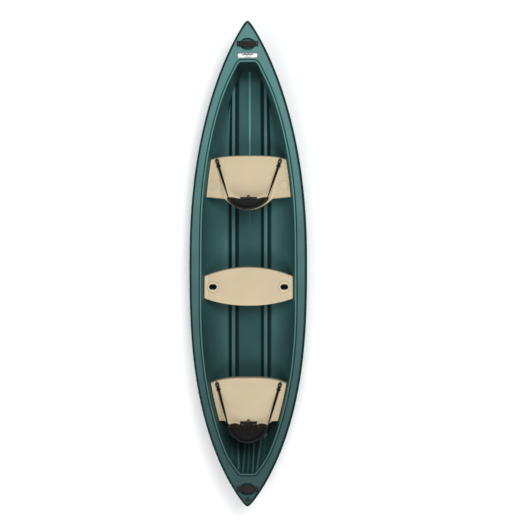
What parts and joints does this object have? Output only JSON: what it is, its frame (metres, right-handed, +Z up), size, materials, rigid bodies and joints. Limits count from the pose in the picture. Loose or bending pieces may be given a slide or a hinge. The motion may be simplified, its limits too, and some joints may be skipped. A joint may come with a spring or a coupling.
{
  "type": "canoe",
  "caption": "Three-seat recreational canoe with a moulded green hull, tan seats, folding backrests on straps, carry handles and a drain plug.",
  "frame": {"origin": "on the ground under the middle of the hull", "axes": "+Y towards the bow, +X to starboard, +Z up"},
  "size_m": [0.978, 3.962, 0.5181],
  "materials": {
    "hull_green": "moulded polyethylene, fine grain",
    "seat_tan": "moulded polyethylene, fine grain",
    "black_plastic": "moulded nylon",
    "pad_cloth": "foam pad in woven cover",
    "webbing": "woven polypropylene webbing",
    "grip_rubber": "soft moulded rubber",
    "steel": "stainless steel",
    "brass": "plain brass",
    "foam": "closed-cell foam",
    "plate_white": "printed plastic plate"
  },
  "bodies": {
    "root": {"hull_shell": "hull_green", "bow_foam_block": "foam", "stern_foam_block": "foam", "name_plate": "plate_white", "name_plate_rivets": "steel", "bow_seat": "seat_tan", "centre_seat": "seat_tan", "stern_seat": "seat_tan", "bow_seat_bolts": "steel", "centre_seat_bolts": "steel", "stern_seat_bolts": "steel", "bow_seat_washers": "steel", "centre_seat_washers": "steel", "stern_seat_washers": "steel", "bow_seat_nuts": "steel", "centre_seat_nuts": "steel", "stern_seat_nuts": "steel", "centre_seat_grommets": "black_plastic", "bow_hinge_bracket": "black_plastic", "bow_hinge_pin": "steel", "bow_hinge_screws": "steel", "bow_hinge_knob": "brass", "bow_strap_anchors": "black_plastic", "bow_strap_screws": "steel", "bow_strap_clips": "black_plastic", "bow_strap_buckles": "black_plastic", "bow_strap_left": "webbing", "bow_strap_right": "webbing", "stern_hinge_bracket": "black_plastic", "stern_hinge_pin": "steel", "stern_hinge_screws": "steel", "stern_hinge_knob": "brass", "stern_strap_anchors": "black_plastic", "stern_strap_screws": "steel", "stern_strap_clips": "black_plastic", "stern_strap_buckles": "black_plastic", "stern_strap_left": "webbing", "stern_strap_right": "webbing", "bow_handle_webbing": "webbing", "bow_handle_caps": "black_plastic", "bow_handle_screws": "steel", "stern_handle_webbing": "webbing", "stern_handle_caps": "black_plastic", "stern_handle_screws": "steel", "drain_bushing": "black_plastic"},
    "bow_backrest": {"bow_backrest_shell": "black_plastic", "bow_backrest_pad": "pad_cloth", "bow_backrest_rivets": "brass"},
    "stern_backrest": {"stern_backrest_shell": "black_plastic", "stern_backrest_pad": "pad_cloth", "stern_backrest_rivets": "brass"},
    "bow_grip": {"bow_handle_grip": "grip_rubber"},
    "stern_grip": {"stern_handle_grip": "grip_rubber"},
    "drain_seal": {"drain_gasket": "grip_rubber"},
    "drain_cap": {"drain_plug": "black_plastic"}
  },
  "joints": [
    {"name": "bow_backrest_fold", "type": "hinge", "parent": "root", "child": "bow_backrest", "pos_m": [0, 0.535, 0.284], "axis": [-1, 0, 0], "range_deg": [0, 79], "deforming": ["bow_strap_left", "bow_strap_right"]},
    {"name": "stern_backrest_fold", "type": "hinge", "parent": "root", "child": "stern_backrest", "pos_m": [0, -1.344, 0.284], "axis": [-1, 0, 0], "range_deg": [0, 84], "deforming": ["stern_strap_left", "stern_strap_right"]},
    {"name": "bow_handle_lift", "type": "slide", "parent": "root", "child": "bow_grip", "axis": [0, -0.1444, 0.9895], "range_m": [0, 0.02], "deforming": ["bow_handle_webbing"]},
    {"name": "stern_handle_lift", "type": "slide", "parent": "root", "child": "stern_grip", "axis": [0, 0.151, 0.9885], "range_m": [0, 0.02], "deforming": ["stern_handle_webbing"]},
    {"name": "drain_plug_travel", "type": "slide", "parent": "root", "child": "drain_seal", "axis": [0, 0.1623, 0.9867], "range_m": [0, 0.012]},
    {"name": "drain_plug_turn", "type": "hinge", "parent": "drain_seal", "child": "drain_cap", "pos_m": [0, -1.921, 0.48586], "axis": [0, 0.1623, 0.9867], "range_deg": [0, 1440]}
  ],
  "couplings": [
    {"joint": "drain_plug_turn", "follows": "drain_plug_travel", "rad_per_m": 2094.4}
  ]
}
